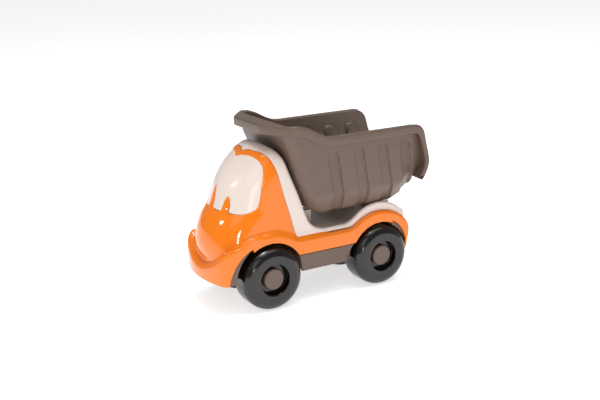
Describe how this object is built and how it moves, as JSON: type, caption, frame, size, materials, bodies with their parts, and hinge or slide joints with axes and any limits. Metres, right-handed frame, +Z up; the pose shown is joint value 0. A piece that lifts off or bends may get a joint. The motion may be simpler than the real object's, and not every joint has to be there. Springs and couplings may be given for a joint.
{
  "type": "toy dump truck",
  "caption": "Chunky toy dump truck with an orange and white cab and body, a grey bed that tips on a rear hinge, and free-rolling wheels on stub axle pins.",
  "frame": {"origin": "on the ground, below the middle of the truck's overall length and width", "axes": "the truck faces -Y, its left side is +X, +Z is up"},
  "size_m": [0.0804, 0.1648, 0.125],
  "materials": {
    "orange_body": "glossy moulded orange",
    "white_body": "glossy moulded warm white",
    "grey_plastic": "satin moulded warm grey",
    "black_tyre": "glossy moulded black",
    "steel": "bright zinc-plated steel"
  },
  "bodies": {
    "root": {"body_shell": "orange_body", "deck_shell": "white_body", "windscreen": "white_body", "chassis": "grey_plastic", "bed_hinge_pin": "steel", "axle_pin_front_left": "grey_plastic", "axle_pin_front_right": "grey_plastic", "axle_pin_rear_left": "grey_plastic", "axle_pin_rear_right": "grey_plastic", "chassis_screw_front_left": "steel", "chassis_screw_front_right": "steel", "chassis_screw_middle_left": "steel", "chassis_screw_middle_right": "steel", "chassis_screw_rear_left": "steel", "chassis_screw_rear_right": "steel"},
    "bed": {"tipper_bed": "grey_plastic"},
    "wheel_front_left": {"wheel_front_left": "black_tyre"},
    "wheel_front_right": {"wheel_front_right": "black_tyre"},
    "wheel_rear_left": {"wheel_rear_left": "black_tyre"},
    "wheel_rear_right": {"wheel_rear_right": "black_tyre"}
  },
  "joints": [
    {"name": "bed_tilt", "type": "hinge", "parent": "root", "child": "bed", "pos_m": [0, 0.062, 0.0535], "axis": [-1, 0, 0], "range_deg": [0, 50]},
    {"name": "wheel_spin_front_left", "type": "hinge", "parent": "root", "child": "wheel_front_left", "pos_m": [0.0258, -0.0417, 0.022], "axis": [1, 0, 0], "continuous": true},
    {"name": "wheel_spin_front_right", "type": "hinge", "parent": "root", "child": "wheel_front_right", "pos_m": [-0.0258, -0.0417, 0.022], "axis": [1, 0, 0], "continuous": true},
    {"name": "wheel_spin_rear_left", "type": "hinge", "parent": "root", "child": "wheel_rear_left", "pos_m": [0.0258, 0.0459, 0.022], "axis": [1, 0, 0], "continuous": true},
    {"name": "wheel_spin_rear_right", "type": "hinge", "parent": "root", "child": "wheel_rear_right", "pos_m": [-0.0258, 0.0459, 0.022], "axis": [1, 0, 0], "continuous": true}
  ]
}
